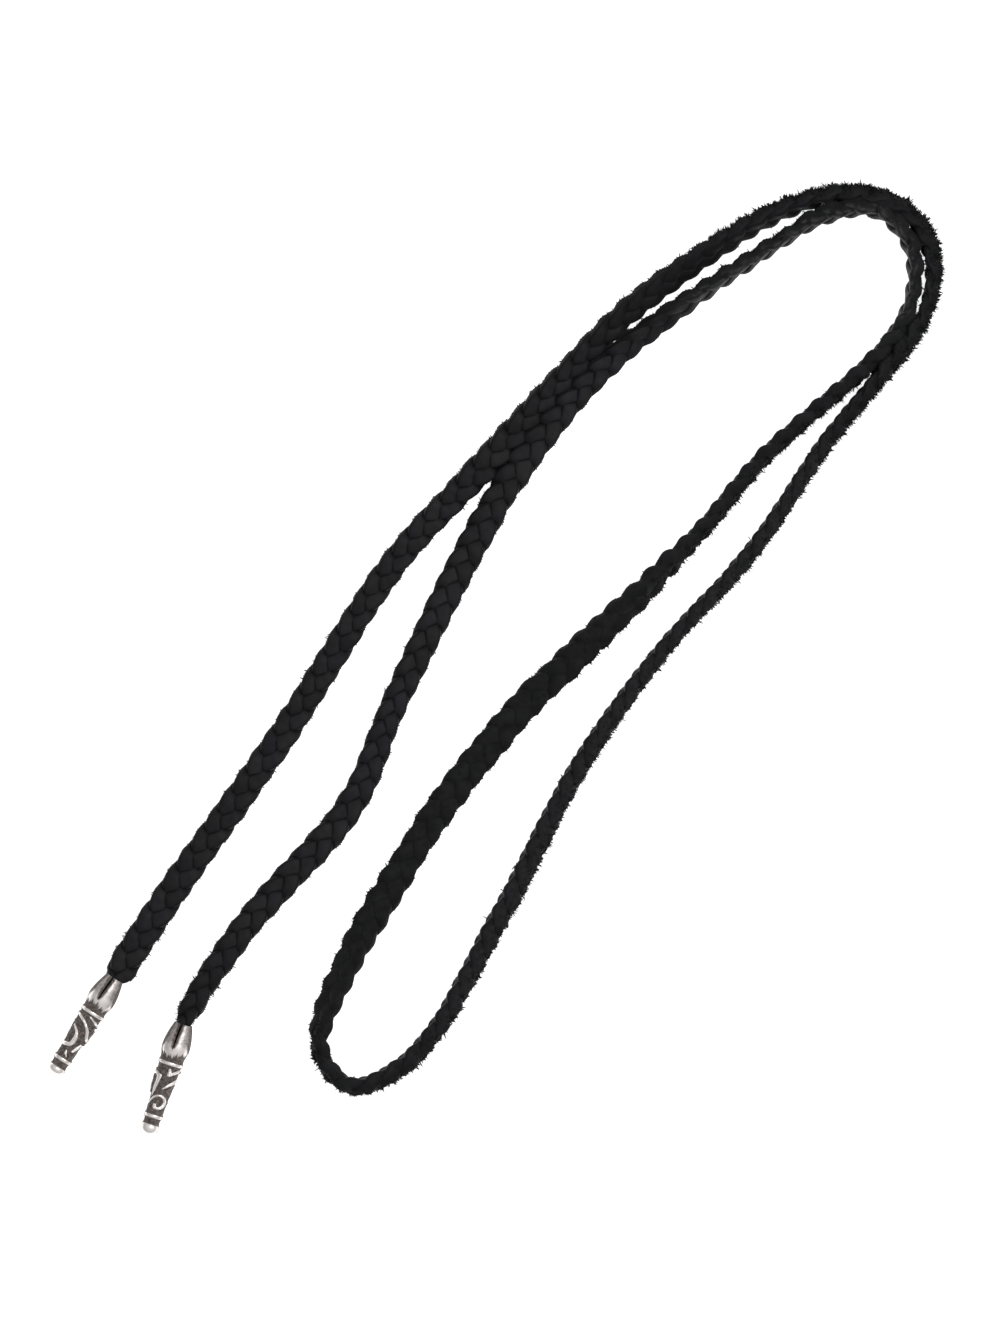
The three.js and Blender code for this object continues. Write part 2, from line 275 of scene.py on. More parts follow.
# Columns: x, radius
TIP_PROFILE = np.array([
    (0, 0),
    (0.0001, 0.0010),
    (0.0005, 0.0017),
    (0.0011, 0.00212),
    (0.0018, 0.00212),
    (0.0022, 0.00178),
    (0.0035, 0.00182),
    (0.0036, 0.0021),
    (0.0041, 0.00225),
    (0.0046, 0.00212),
    (0.0047, 0.00192),
    (0.0080, 0.00202),
    (0.0105, 0.00228),
    (0.0130, 0.00245),
    (0.0163, 0.0025),
    (0.0164, 0.00278),
    (0.01685, 0.00292),
    (0.0173, 0.00278),
    (0.0174, 0.00262),
    (0.0186, 0.00272),
    (0.0194, 0.00302),
    (CUP_WIDEST, CUP_RADIUS),
    (0.0226, 0.00302),
    (0.0246, 0.0026),
    (TIP_MOUTH, 0.0021),
])
TIP_HOLLOW = np.array([
    (0.0200, 0.0019),
    (0.0206, 0.00235),
    (0.0226, 0.00235),
    (0.0246, 0.0020),
    (TIP_MOUTH, 0.0017),
])
PROFILE_ROUNDING = 3  # how many times the profile's corners are cut
CORNER_CUT = 0.25  # share of a side that each cut takes
TIP_GIRTH = 1.04  # how much fuller the tips are drawn than their profile
TIP_STEP = 0.0001
TIP_LOWEST = 0.00001
SMALLEST_RADIUS = 1e-6
WELD = 1e-6
LEFT_TURN = math.radians(180)
RIGHT_TURN = 0.0

# Slits between the petals of the cup
PETALS = 4
PETAL_COLUMNS = 40
SLIT_FOOT = 0.0200
SLIT_HALF_WIDTH = 0.00032
SLIT_ROUNDING = 0.0015
SLIT_BEYOND = 0.0010  # how far past the mouth a slit's sides would run on
SLIT_STEPS = 200
SLIT_TURN = math.radians(-10)
SLIT_STAIN = (0.00080, 0.00110)  # how far the dark stain reaches beside the upper and the side slits
STAIN_START = (SLIT_FOOT - 0.0004, SLIT_FOOT + 0.001)
STAIN_DARKNESS = 0.9
SLIT_BEVEL = 0.00016

# Raised strokes of the scroll relief: face in degrees, half widths at start, middle and end, and points.
# Columns of points: x, and metres round the barrel from the middle of the face
RELIEF_HEIGHT = 0.00042
RELIEF_START = 0.0047
RELIEF_END = 0.0163
STROKE_STEPS = 70
STROKE_FULL = 0.0003  # half width from which a stroke has its full height
STROKES = [
    (0, (0.00022, 0.00042, 0.00040), [
        (0.0066, -0.0022), (0.0078, -0.00155), (0.0089, -0.00065), (0.0091, 0.0003), (0.0083, 0.00135),
        (0.0072, 0.0014), (0.0062, 0.0006), (0.0062, -0.0003), (0.0068, -0.00045),
    ]),
    (0, (0.00018, 0.00040, 0.00062), [
        (0.0086, -0.0018), (0.0103, -0.0017), (0.0121, -0.0015), (0.0135, -0.00145),
    ]),
    (0, (0.00045, 0.00040, 0.00034), [(0.0134, -0.0015), (0.0140, -0.0023), (0.0142, -0.0033)]),
    (0, (0.00016, 0.00036, 0.00046), [(0.0107, 0), (0.0119, 0.0011), (0.0132, 0.00265)]),
    (0, (0.00030, 0.00042, 0.00050), [(0.0156, 0.00035), (0.0150, 0.0005), (0.0143, 0.0005)]),
    (0, (0.00046, 0.00040, 0.00040), [(0.0143, 0.0005), (0.0149, 0.0014), (0.0156, 0.0026)]),
    (0, (0.00030, 0.00050, 0.00030), [(0.0093, -0.0033), (0.0112, -0.0039), (0.0132, -0.0040)]),
    (180, (0.00034, 0.00038, 0.00052), [
        (0.0154, -0.0040), (0.0149, -0.00165), (0.0141, -0.0001), (0.0127, 0.00125), (0.0110, 0.0022),
        (0.0104, 0.0031),
    ]),
    (180, (0.00022, 0.00048, 0.00052), [
        (0.0125, -0.0020), (0.0114, -0.0006), (0.0098, -0.0001), (0.0081, -0.0004), (0.0075, -0.0021),
    ]),
    (180, (0.00030, 0.00042, 0.00030), [(0.0068, 0.00085), (0.0090, 0.0019)]),
    (180, (0.00020, 0.00030, 0.00020), [(0.0052, 0.0003), (0.0058, -0.0001), (0.0064, -0.0003)]),
    (180, (0.00024, 0.00032, 0.00030), [(0.0159, 0.0002), (0.0153, 0.0016), (0.0146, 0.0032)]),
]

# Low lumps of the cast ground. Columns of waves: number round the barrel, radians to a metre along it
LUMP_HEIGHT = 0.00005
LUMP_ZONE = (0.0053, 0.0158, 0.0005)
CROSSED_WAVES = ((5, 4200), (-3, 5300))
SINGLE_WAVE = (9, -2600)
SINGLE_SHARE = 0.7

# Where the casting is bright: ball, rings, strokes and petals, with a ragged foot to the petals
BALL_SHINE = (0.0019, 0.0023)
RING_BANDS = ((0.00374, 0.00446), (0.01651, 0.01721))
RING_SOFTNESS = 0.00012
STROKE_SHINE = (0.0001, 0.0003)
PETAL_SHINE = (0.0180, 0.0202)
RAGGED_WAVES = ((0.0004, 3, 0.8), (0.0003, 13, 0), (0.0002, 29, 1))  # size, number round, start
HOLLOW_SHINE = 0.05
BOTTOM_SHINE = 0.0
RIM_SHINE = 0.5
SLIT_SHINE = 0.1
# Where it is darker: painted shade round its sides, and tarnish with painted shade up the petals
CUP_FOOT = (0.0195, 0.0215)
FLANK_SHADE_SIDES = (0.72, 0.95)
FLANK_SHADE = 0.45
FLANK_SHADE_MORE = 0.45  # added on the cup
# tarnish, with painted shade that dims the cup's highlight and darkens towards its sides
TARNISH_AND_SHADE_START = (0.0195, 0.0225)
SIDE_SHADE_SIDES = (0.25, 0.85)
TARNISH_AND_SHADE = 0.47
SIDE_SHADE = 0.18  # painted shade added towards the sides

# Noise of the materials. Columns: waves to a metre, levels of detail, roughness
PATCH_NOISE = (420, 4.0, 0.55)
HUE_NOISE = (130, 2.0, 0.55)
STREAK_NOISE = (700, 3.0, 0.55)
DUST_NOISE = (900, 3.0, 0.55)
PORE_NOISE = (3600, 5.0, 0.6)
NAP_NOISE = (5200, 3.0, 0.7)
STAIN_NOISE = (900, 5.0, 0.6)
GRIT_NOISE = (1700, 5.0, 0.7)
FLOOR_NOISE = (6.0, 4.0, 0.55)

# Leather: colours, as the dark and the light end of a range where there are two, and other values
COOL_PADS = ((0.0057, 0.0057, 0.0073, 1), (0.0138, 0.0136, 0.0174, 1))
WARM_PADS = ((0.0059, 0.0060, 0.0058, 1), (0.0138, 0.0141, 0.0136, 1))
SUEDE = ((0.0066, 0.0068, 0.0072, 1), (0.0108, 0.0111, 0.0117, 1))
# painted highlight: the colour of the glints on the grain round the inner bend
GLINT_COLOUR = (0.042, 0.042, 0.043, 1)
DUST_COLOUR = (0.0165, 0.0167, 0.0176, 1)
# painted shade in the creases and where laces dive, also the colour of the darker right end
CREASE_SHADE_COLOUR = (0.0012, 0.0012, 0.0013, 1)
PATCH_RANGE = (0.35, 0.65)
HUE_RANGE = (0.40, 0.60)
STREAK_RANGE = (0.42, 0.62)
DUST_RANGE = (0.35, 0.65)
PATCH_SHARE = 0.45
TONE_SHARE = 0.55
PATCH_GLOSS = 0.2
LEATHER_ROUGHNESS = (0.0, 1.2, 0.92, 0.56)  # gloss from and to, roughness from and to
LEATHER_BUMP = 0.35
LEATHER_DEPTH = 0.00012

# Silver: colours and other values
OXIDE = ((0.022, 0.018, 0.016, 1), (0.165, 0.137, 0.123, 1))
POLISHED = ((0.65, 0.605, 0.58, 1), (0.86, 0.82, 0.795, 1))
GRIT_RANGE = (0.36, 0.66)
STAIN_SHARE = 0.3
GRIT_SHARE = 0.4
POLISH_AND_SHADE_RANGE = (0.6, 1.05)
SILVER_METALLIC = (0.05, 0.6, 0.1, 1.0)  # polish and painted shade from and to, value from and to, and so in the next two
SILVER_ROUGHNESS = (0, 1, 0.62, 0.33)
SILVER_BUMP = (0, 1, 0.5, 0.06)
SILVER_DEPTH = 0.0001

# Surface below and light
FLOOR_COLOURS = ((0.68, 0.68, 0.68, 1), (0.70, 0.70, 0.695, 1))
FLOOR_GLOW = 0.88
FLOOR_HALF = 3.0
SKY_COLOURS = ((0.48, 0.48, 0.485, 1), (1.0, 1.0, 1.0, 1))  # low and high in the room
SKY_HEIGHTS = (-0.15, 0.9)
SKY_LEAN = 0.35  # how far the bright side of the room leans towards +X
SKY_STRENGTH = 0.85
KEY_PLACE = (0.5, 0.25, 1.1)
KEY_SIZE = 0.7
KEY_POWER = 6.0


def smoothstep(value, low, high):
    """0 up to low, 1 from high on, with an eased rise between."""
    t = np.clip((value - low) / (high - low), 0, 1)
    return t * t * (3 - 2 * t)


def zone(x, start, end, soft):
    """1 between start and end, 0 outside, eased over soft to each side of both."""
    return smoothstep(x, start - soft, start + soft) * (1 - smoothstep(x, end - soft, end + soft))


def unit(vectors):
    return vectors / np.linalg.norm(vectors, axis=-1, keepdims=True)


def running_lengths(points):
    return np.r_[0, np.cumsum(np.linalg.norm(np.diff(points, axis=0), axis=1))]


def curve_through(points, t):
    """Places and slopes of a smooth curve through points, at t from 0 to 1."""
    padded = np.vstack([2 * points[0] - points[1], points, 2 * points[-1] - points[-2]])
    place = np.clip(t, 0, 1) * (len(points) - 1)
    row = np.minimum(place.astype(int), len(points) - 2)
    w = (place - row)[:, None]
    p0, p1, p2, p3 = (padded[row + k] for k in range(4))
    sides = ((p0, p1), (p1, p2), (p2, p3))
    d0, d1, d2 = (np.linalg.norm(b - a, axis=1)[:, None] ** 0.5 for a, b in sides)
    s1 = ((p1 - p0) / d0 - (p2 - p0) / (d0 + d1) + (p2 - p1) / d1) * d1
    s2 = ((p2 - p1) / d1 - (p3 - p1) / (d1 + d2) + (p3 - p2) / d2) * d1
    c2 = 3 * (p2 - p1) - 2 * s1 - s2
    c3 = 2 * (p1 - p2) + s1 + s2
    return p1 + s1 * w + c2 * w**2 + c3 * w**3, s1 + 2 * c2 * w + 3 * c3 * w**2


# Cord
route_t = np.linspace(0, 1, ROUTE_SAMPLES + 1)
route_lengths = running_lengths(curve_through(ROUTE[:, :2] - BOX_MIDDLE, route_t)[0])
CORD_LENGTH = route_lengths[-1]


def route_value(column, t):
    """A column of the route, eased from row to row, at t from 0 to 1."""
    place = t * (len(ROUTE) - 1)
    row = np.minimum(place.astype(int), len(ROUTE) - 2)
    ease = smoothstep(place - row, 0, 1)
    return ROUTE[row, column] * (1 - ease) + ROUTE[row + 1, column] * ease


def opening(distance):
    """0 where the cord is inside a tip, 1 clear of it."""
    from_left = distance + LEFT_OUT - INSERT_LENGTH
    left = smoothstep(from_left, -NECK_EARLY, LEFT_TAPER - NECK_EARLY / 2)
    from_right = CORD_LENGTH - distance + RIGHT_OUT - INSERT_LENGTH
    right = smoothstep(from_right, -NECK_EARLY, RIGHT_TAPER - NECK_EARLY / 2)
    return np.minimum(left, right)


def tip_axis_height(x):
    """Height of a tip's axis, which dips from the cup that it rests on to the ball."""
    return CUP_RADIUS + (x - CUP_WIDEST) * math.tan(TIP_DIP)


def cord_frame(distance):
    """The cord at distances along it: middle, directions, section scales and roll."""
    t = np.interp(distance, route_lengths, route_t)
    place, slope = curve_through(ROUTE[:, :2] - BOX_MIDDLE, t)
    travel = np.c_[unit(slope), np.zeros(len(t))]
    right = np.c_[travel[:, 1], -travel[:, 0], np.zeros(len(t))]
    top = np.array((0, 0, 1))
    roll = np.radians(route_value(ROLL_COLUMN, t))
    lean = EDGE_LEAN * np.clip(-np.sin(roll), 0, 1)
    roll = roll + lean * (2 * smoothstep(distance, *LEAN_CHANGE) - 1)
    cosine = np.cos(roll)
    sine = np.sin(roll)
    opened = opening(distance)
    width = (NECK_WIDTH + (route_value(WIDTH_COLUMN, t) - NECK_WIDTH) * opened) / BRAID_WIDTH
    thickness = NECK_THICKNESS + (route_value(THICKNESS_COLUMN, t) - NECK_THICKNESS) * opened
    thickness = thickness / BRAID_THICKNESS
    reaches = [abs(a * width * sine) + abs(u * thickness * cosine) for a, u in SECTION_REACH]
    resting = np.max(reaches, axis=0)
    from_end = np.minimum(distance, CORD_LENGTH - distance)
    held = tip_axis_height(TIP_MOUTH + from_end - INSERT_LENGTH)
    return SimpleNamespace(
        distance=distance,
        middle=np.c_[place, held + (resting - held) * opened],
        travel=travel,
        right=right,
        across=right * cosine[:, None] - top * sine[:, None],
        up=top * cosine[:, None] + right * sine[:, None],
        width=width,
        thickness=thickness,
        roll=roll,
    )


# Noise and meshes
def wander(distance, change, seed):
    """A slow seeded change along the cord, to both sides of 0 by about its size."""
    size, wavelength = change
    line = WANDER_LINES * seed
    return size * np.array([noise.noise((d / wavelength, line, WANDER_LEVEL)) for d in distance])


def surface_noise(points, size, seed):
    start = Vector((seed, 0, 0))
    values = [noise.noise(Vector(p) / size + start) for p in points.reshape(-1, 3)]
    return np.array(values).reshape(points.shape[:-1])


def grid_faces(rows, columns, closed):
    """Quads of a grid of points, rows one after the other, with each row a ring if closed."""
    faces = []
    for i in range(rows - 1):
        for j in range(columns if closed else columns - 1):
            a = i * columns + j
            b = i * columns + (j + 1) % columns
            faces.append((a, a + columns, b + columns, b))
    return faces


def mesh_piece(name, points, faces, material, attributes):
    """A piece of the visual model on the root body, with values at its points for its material."""
    mesh = bpy.data.meshes.new(name)
    mesh.from_pydata(points.tolist(), [], faces)
    for key, values in attributes:
        layer = mesh.attributes.new(key, "FLOAT", "POINT")
        layer.data.foreach_set("value", np.asarray(values, np.float32).ravel())
    mesh.shade_smooth()
    mesh.materials.append(material)
    piece = bpy.data.objects.new(name, mesh)
    bpy.context.scene.collection.objects.link(piece)
    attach(piece, "root")
    return piece


# Materials
class Nodes:
    """A short way to add shader nodes to a material or world and join them."""

    MIX_FACTOR, MIX_A, MIX_B, MIX_RESULT = 0, 6, 7, 2  # places of a mix node's colour sockets

    def __init__(self, owner):
        owner.use_nodes = True
        self.tree = owner.node_tree
        self.tree.nodes.clear()

    def add(self, kind, inputs=(), **settings):
        node = self.tree.nodes.new(kind)
        for key, value in settings.items():
            setattr(node, key, value)
        for key, value in dict(inputs).items():
            if isinstance(value, bpy.types.NodeSocket):
                self.tree.links.new(value, node.inputs[key])
            else:
                node.inputs[key].default_value = value
        return node

    def attribute(self, name):
        return self.add("ShaderNodeAttribute", attribute_name=name).outputs["Fac"]

    def noise(self, scale, detail, roughness):
        place = self.add("ShaderNodeTexCoord").outputs["Object"]
        inputs = {"Vector": place, "Scale": scale, "Detail": detail, "Roughness": roughness}
        return self.add("ShaderNodeTexNoise", inputs).outputs["Fac"]

    def spread(self, value, low, high, to_low=0.0, to_high=1.0):
        inputs = {"Value": value, "From Min": low, "From Max": high, "To Min": to_low, "To Max": to_high}
        return self.add("ShaderNodeMapRange", inputs).outputs["Result"]

    def mix(self, factor, a, b):
        inputs = {self.MIX_FACTOR: factor, self.MIX_A: a, self.MIX_B: b}
        return self.add("ShaderNodeMix", inputs, data_type="RGBA").outputs[self.MIX_RESULT]

    def plus(self, a, b):
        return self.add("ShaderNodeMath", {0: a, 1: b}, operation="ADD").outputs["Value"]

    def times(self, a, b):
        return self.add("ShaderNodeMath", {0: a, 1: b}, operation="MULTIPLY").outputs["Value"]

    def surface(self, inputs):
        shader = self.add("ShaderNodeBsdfPrincipled", inputs)
        self.add("ShaderNodeOutputMaterial", {"Surface": shader.outputs["BSDF"]})


def leather_material():
    material = bpy.data.materials.new("black_leather")
    n = Nodes(material)
    grain = n.attribute("grain")
    patches = n.spread(n.noise(*PATCH_NOISE), *PATCH_RANGE)
    shade = n.plus(n.times(patches, PATCH_SHARE), n.times(n.attribute("tone"), TONE_SHARE))
    hue = n.spread(n.noise(*HUE_NOISE), *HUE_RANGE)
    pad_colour = n.mix(hue, n.mix(shade, *COOL_PADS), n.mix(shade, *WARM_PADS))
    streaks = n.spread(n.noise(*STREAK_NOISE), *STREAK_RANGE)
    # painted highlight: glints in streaks on the grain round the inner bend
    grain_colour = n.mix(n.times(streaks, n.attribute("painted_glint")), pad_colour, GLINT_COLOUR)
    dust = n.times(n.spread(n.noise(*DUST_NOISE), *DUST_RANGE), n.attribute("dusty"))
    flesh_colour = n.mix(dust, n.mix(patches, *SUEDE), DUST_COLOUR)
    body_colour = n.mix(grain, flesh_colour, grain_colour)
    # painted shade in the creases, on the grain side
    crease_shade = n.times(n.attribute("crease_shade"), grain)
    gloss = n.plus(grain, n.times(patches, PATCH_GLOSS))
    height = n.plus(n.times(n.noise(*PORE_NOISE), grain), n.noise(*NAP_NOISE))
    bump = n.add("ShaderNodeBump", {"Strength": LEATHER_BUMP, "Distance": LEATHER_DEPTH, "Height": height})
    n.surface({
        "Base Color": n.mix(crease_shade, body_colour, CREASE_SHADE_COLOUR),
        "Roughness": n.spread(gloss, *LEATHER_ROUGHNESS),
        "Specular IOR Level": 0.11,
        "Sheen Weight": 0.03,
        "Sheen Roughness": 0.45,
        "Normal": bump.outputs["Normal"],
    })
    return material


def silver_material():
    material = bpy.data.materials.new("oxidised_silver")
    n = Nodes(material)
    stains = n.noise(*STAIN_NOISE)
    grit = n.noise(*GRIT_NOISE)
    worn = n.plus(n.times(stains, STAIN_SHARE), n.times(grit, GRIT_SHARE))
    # brightness of the casting, holding its painted shade on the flanks and cup sides as well as polish and
    # oxide
    polish_and_shade = n.spread(n.plus(n.attribute("polish_and_shade"), worn), *POLISH_AND_SHADE_RANGE)
    dark = n.mix(n.spread(grit, *GRIT_RANGE), *OXIDE)
    bright = n.mix(stains, *POLISHED)
    strength = n.spread(polish_and_shade, *SILVER_BUMP)
    bump = n.add("ShaderNodeBump", {"Strength": strength, "Distance": SILVER_DEPTH, "Height": grit})
    n.surface({
        "Base Color": n.mix(polish_and_shade, dark, bright),
        "Metallic": n.spread(polish_and_shade, *SILVER_METALLIC),
        "Specular IOR Level": 0.3,
        "Roughness": n.spread(polish_and_shade, *SILVER_ROUGHNESS),
        "Normal": bump.outputs["Normal"],
    })
    return material


def floor_material():
    material = bpy.data.materials.new("pale_surface")
    n = Nodes(material)
    n.surface({
        "Base Color": n.mix(n.noise(*FLOOR_NOISE), *FLOOR_COLOURS),
        "Roughness": 0.9,
        "Specular IOR Level": 0.1,
        "Emission Color": (1.0, 1.0, 1.0, 1),
        "Emission Strength": FLOOR_GLOW,
    })
    return material


leather = leather_material()
silver = silver_material()


# Laces
def fitted(distance):
    """Extra width, extra thickness and shift of the fitted stretches, at distances along the cord."""
    extras = np.zeros((3, len(distance)))
    for start, end, *extra in FITTED:
        extras += np.outer(extra, zone(distance, start, end, FITTED_ENDS))
    return extras


def fitted_cord():
    """The cord at even steps from end to end, with its fitted stretches, and how frayed it is."""
    distance = np.linspace(0, CORD_LENGTH, BRAID_PERIODS * STEPS_PER_PERIOD + 1)
    run = cord_frame(distance)
    wider, thicker, aside = fitted(distance)
    run.on_edge = np.sin(run.roll) ** 2
    run.width = run.width * (1 + wider)
    run.thickness = run.thickness * (1 + thicker) * (1 - EDGE_SQUEEZE * run.on_edge)
    run.middle = run.middle + run.right * aside[:, None]
    frayed = run.on_edge * (FRAYED_ON_EDGE + FRAYED_MORE * zone(distance, *FRAYED_STRETCH))
    off_ends = zone(distance, END_STRETCH, CORD_LENGTH - END_STRETCH, END_SOFTNESS)
    frayed = np.maximum(frayed, FRAYED_AT_ENDS * (1 - off_ends))
    run.frayed = frayed * (1 - FRAYED_LESS * zone(distance, *CLEAN_STRETCH))
    return run


def squared(value):
    """A sine or cosine drawn out, so that a round section grows squarer."""
    return np.sign(value) * abs(value) ** (2 / LACE_SQUARENESS)


cord = fitted_cord()
section_angles = np.linspace(0, 2 * np.pi, SECTION_SIDES, endpoint=False)
section_u = squared(np.cos(section_angles))
section_v = squared(np.sin(section_angles))


def lace_line(lace):
    """The middle line of one lace: how it swings and lifts, its directions and its half sizes."""
    distance = cord.distance
    phase = FIRST_PHASE + 360 * BRAID_PERIODS * distance / CORD_LENGTH + 360 * lace / LACE_COUNT
    phase = np.radians(phase) + wander(distance, PHASE_WANDER, PHASE_SEED)
    turned = smoothstep(np.sin(phase) ** 2, TURN_START, 1)
    half_width = (LACE_FLAT[0] + (LACE_TURNED[0] - LACE_FLAT[0]) * turned) * cord.width
    flutter = wander(distance, WIDTH_FLUTTER, lace + FLUTTER_SEED)
    half_width *= 1 + wander(distance, WIDTH_WANDER, lace) + flutter
    turned_thickness = LACE_TURNED[1] * (1 + EDGE_FILL * cord.on_edge)
    half_thickness = (LACE_FLAT[1] + (turned_thickness - LACE_FLAT[1]) * turned) * cord.thickness
    half_thickness *= 1 + wander(distance, THICKNESS_WANDER, lace + THICKNESS_SEED)
    lift = np.tanh(LACE_HOLD * np.sin(2 * phase)) / math.tanh(LACE_HOLD)
    lift = lift * (1 - (1 - TILTED_RISE) * np.sin(2 * cord.roll) ** 2)
    lift = lift * (1 - (1 - EDGE_RISE) * cord.on_edge)
    centre = cord.middle + cord.across * (LACE_SWING * np.sin(phase) * cord.width)[:, None]
    centre = centre + cord.up * (LACE_RISE * lift * cord.thickness)[:, None]
    along = unit(np.gradient(centre, distance, axis=0))
    side = unit(np.cross(along, cord.up))
    return SimpleNamespace(
        phase=phase,
        lift=lift,
        centre=centre,
        side=side,
        top=np.cross(side, along),
        half_width=half_width,
        half_thickness=half_thickness,
    )


def lace_rings(lace, line):
    """Rings of points round one lace, torn on its flesh side, and the directions that they face."""
    side = line.side[:, None]
    top = line.top[:, None]
    points = line.centre[:, None] + side * (line.half_width[:, None] * section_u)[:, :, None]
    points = points + top * (line.half_thickness[:, None] * section_v)[:, :, None]
    outward = unit(side * np.cos(section_angles)[:, None] + top * np.sin(section_angles)[:, None])
    torn = (TORN_FLESH + TORN_FRAYED * cord.frayed)[:, None]
    torn = torn * (1 - smoothstep(section_v, *TORN_FADE)) + TORN_ALL
    fine_lumps = surface_noise(points, FINE_LUMP_SIZE, lace + FINE_LUMP_SEED)
    lumps = surface_noise(points, LUMP_SIZE, lace) + FINE_LUMP_SHARE * fine_lumps
    points = points + outward * (torn * lumps)[:, :, None]
    points[:, :, 2] = np.maximum(points[:, :, 2], LACE_LOWEST)
    return points, outward


def lace_looks(lace, line, points):
    """What the leather reads at each point of a lace. Each pad of the braid has a tone of its own."""
    pad = np.floor((line.phase + math.pi / 4) / math.pi).astype(int)
    tone = np.random.default_rng(TONE_SEED + lace).uniform(0, 1, pad.max() + 1)[pad]
    # painted highlight: glints where the grain faces inward round the inner bend, upper part only
    painted_glint = np.clip(-np.sin(cord.roll), 0, 1) ** GLINT_POWER * zone(cord.distance, *GLINT_STRETCH)
    dusty = cord.on_edge * zone(cord.distance, *DUSTY_STRETCH)
    # painted shade: darker beside each lace, more where it dives, less where the cord stands on edge
    beside = smoothstep(abs(section_u), *CREASE_SHADE_SIDES) ** CREASE_SHADE_POWER
    diving = 1 - smoothstep(line.lift, *DIVE_LIFTS)[:, None]
    crease_shade = 1 - (1 - beside) * (1 - DIVE_SHADE * diving)
    below = 1 - smoothstep(section_v, *EDGE_SHADE_FADE)
    crease_shade = crease_shade * (1 - EDGE_SHADE_LESS * cord.on_edge[:, None] * below)
    looks = {
        "grain": smoothstep(section_v, *GRAIN_FADE),
        "tone": tone[:, None],
        "painted_glint": painted_glint[:, None] * smoothstep(points[:, :, 2], *GLINT_HEIGHTS),
        "dusty": dusty[:, None],
        "crease_shade": np.maximum(crease_shade, END_DARKNESS * smoothstep(cord.distance, *DARK_END)[:, None]),
    }
    return {key: np.broadcast_to(values, points.shape[:2]) for key, values in looks.items()}


def lace_piece(lace, points, looks):
    rings = len(points)
    last = (rings - 1) * SECTION_SIDES
    faces = grid_faces(rings, SECTION_SIDES, True)
    faces.append(tuple(range(SECTION_SIDES)))
    faces.append(tuple(last + k for k in reversed(range(SECTION_SIDES))))
    name = f"lace_{lace + 1}_braided"
    piece = mesh_piece(name, points.reshape(-1, 3), faces, leather, looks.items())
    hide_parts(f"lace_{lace + 1}")


# Frayed tufts
def exposure(points):
    """How far out in the braid's section points lie, 1 on its usual outline."""
    away = points - cord.middle[:, None]
    across = np.einsum("ijk,ik->ij", away, cord.across) / cord.width[:, None]
    up = np.einsum("ijk,ik->ij", away, cord.up) / cord.thickness[:, None]
    return np.hypot(across / (BRAID_WIDTH / 2), up / (BRAID_THICKNESS / 2))


def tuft_chances(points, outward, grain):
    """How likely a tuft is at each point: most on the frayed cut edges and the flesh side."""
    flesh_up = np.clip(-np.cos(cord.roll), 0, 1)
    by_side = TUFT_ON_GRAIN + (1 - grain) ** 2
    by_place = TUFT_ANYWHERE + TUFT_FRAYED * cord.frayed**2 + TUFT_FLESH_UP * flesh_up
    sideways = TUFT_LEVEL + (1 - outward[:, :, 2] ** 2)
    outside = exposure(points) > TUFT_OUTSIDE
    clear = points[:, :, 2] + TUFT_AHEAD * outward[:, :, 2] > TUFT_CLEAR
    chances = by_side * by_place[:, None] * sideways * outside * clear
    return chances / chances.sum()


def spike_faces(count):
    """Faces of spikes that each have a root ring, a middle ring and an end point."""
    tip = len(FIBRE_RINGS) * FIBRE_SIDES
    sides = [(k, (k + 1) % FIBRE_SIDES) for k in range(FIBRE_SIDES)]
    pattern = [tuple(range(FIBRE_SIDES))]
    pattern += [(k, k + FIBRE_SIDES, after + FIBRE_SIDES, after) for k, after in sides]
    pattern += [(k + FIBRE_SIDES, tip, after + FIBRE_SIDES) for k, after in sides]
    starts = range(0, count * (tip + 1), tip + 1)
    return [tuple(start + corner for corner in face) for start in starts for face in pattern]


